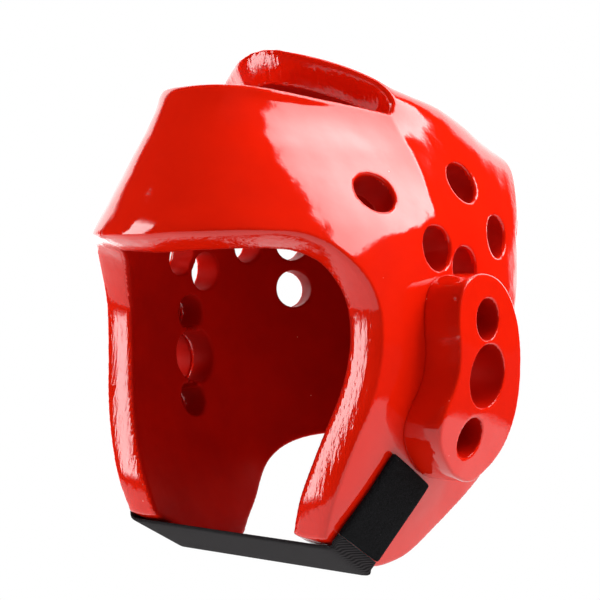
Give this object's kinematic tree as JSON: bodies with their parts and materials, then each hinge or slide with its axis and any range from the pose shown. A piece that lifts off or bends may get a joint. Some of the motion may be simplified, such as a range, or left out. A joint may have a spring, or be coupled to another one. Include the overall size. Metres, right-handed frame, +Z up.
{
  "type": "taekwondo headgear",
  "caption": "Dipped-foam head guard with open face, open crescent over the forehead, vent holes, raised ear pads and an elastic chin strap on hook-and-loop tabs.",
  "frame": {"origin": "where the crown of the head touches the inside of the shell", "axes": "+X to the wearer's left, -Y to the front, +Z up"},
  "size_m": [0.2304, 0.2481, 0.2626],
  "materials": {
    "dipped_foam": "glossy red vinyl dip over soft foam",
    "pile": "matt black hook-and-loop pile",
    "elastic": "woven black elastic webbing"
  },
  "bodies": {
    "root": {"shell": "dipped_foam", "ear_pad_left": "dipped_foam", "ear_pad_right": "dipped_foam", "strap_tab_left": "pile", "strap_tab_right": "pile", "chin_strap": "elastic"}
  },
  "joints": []
}
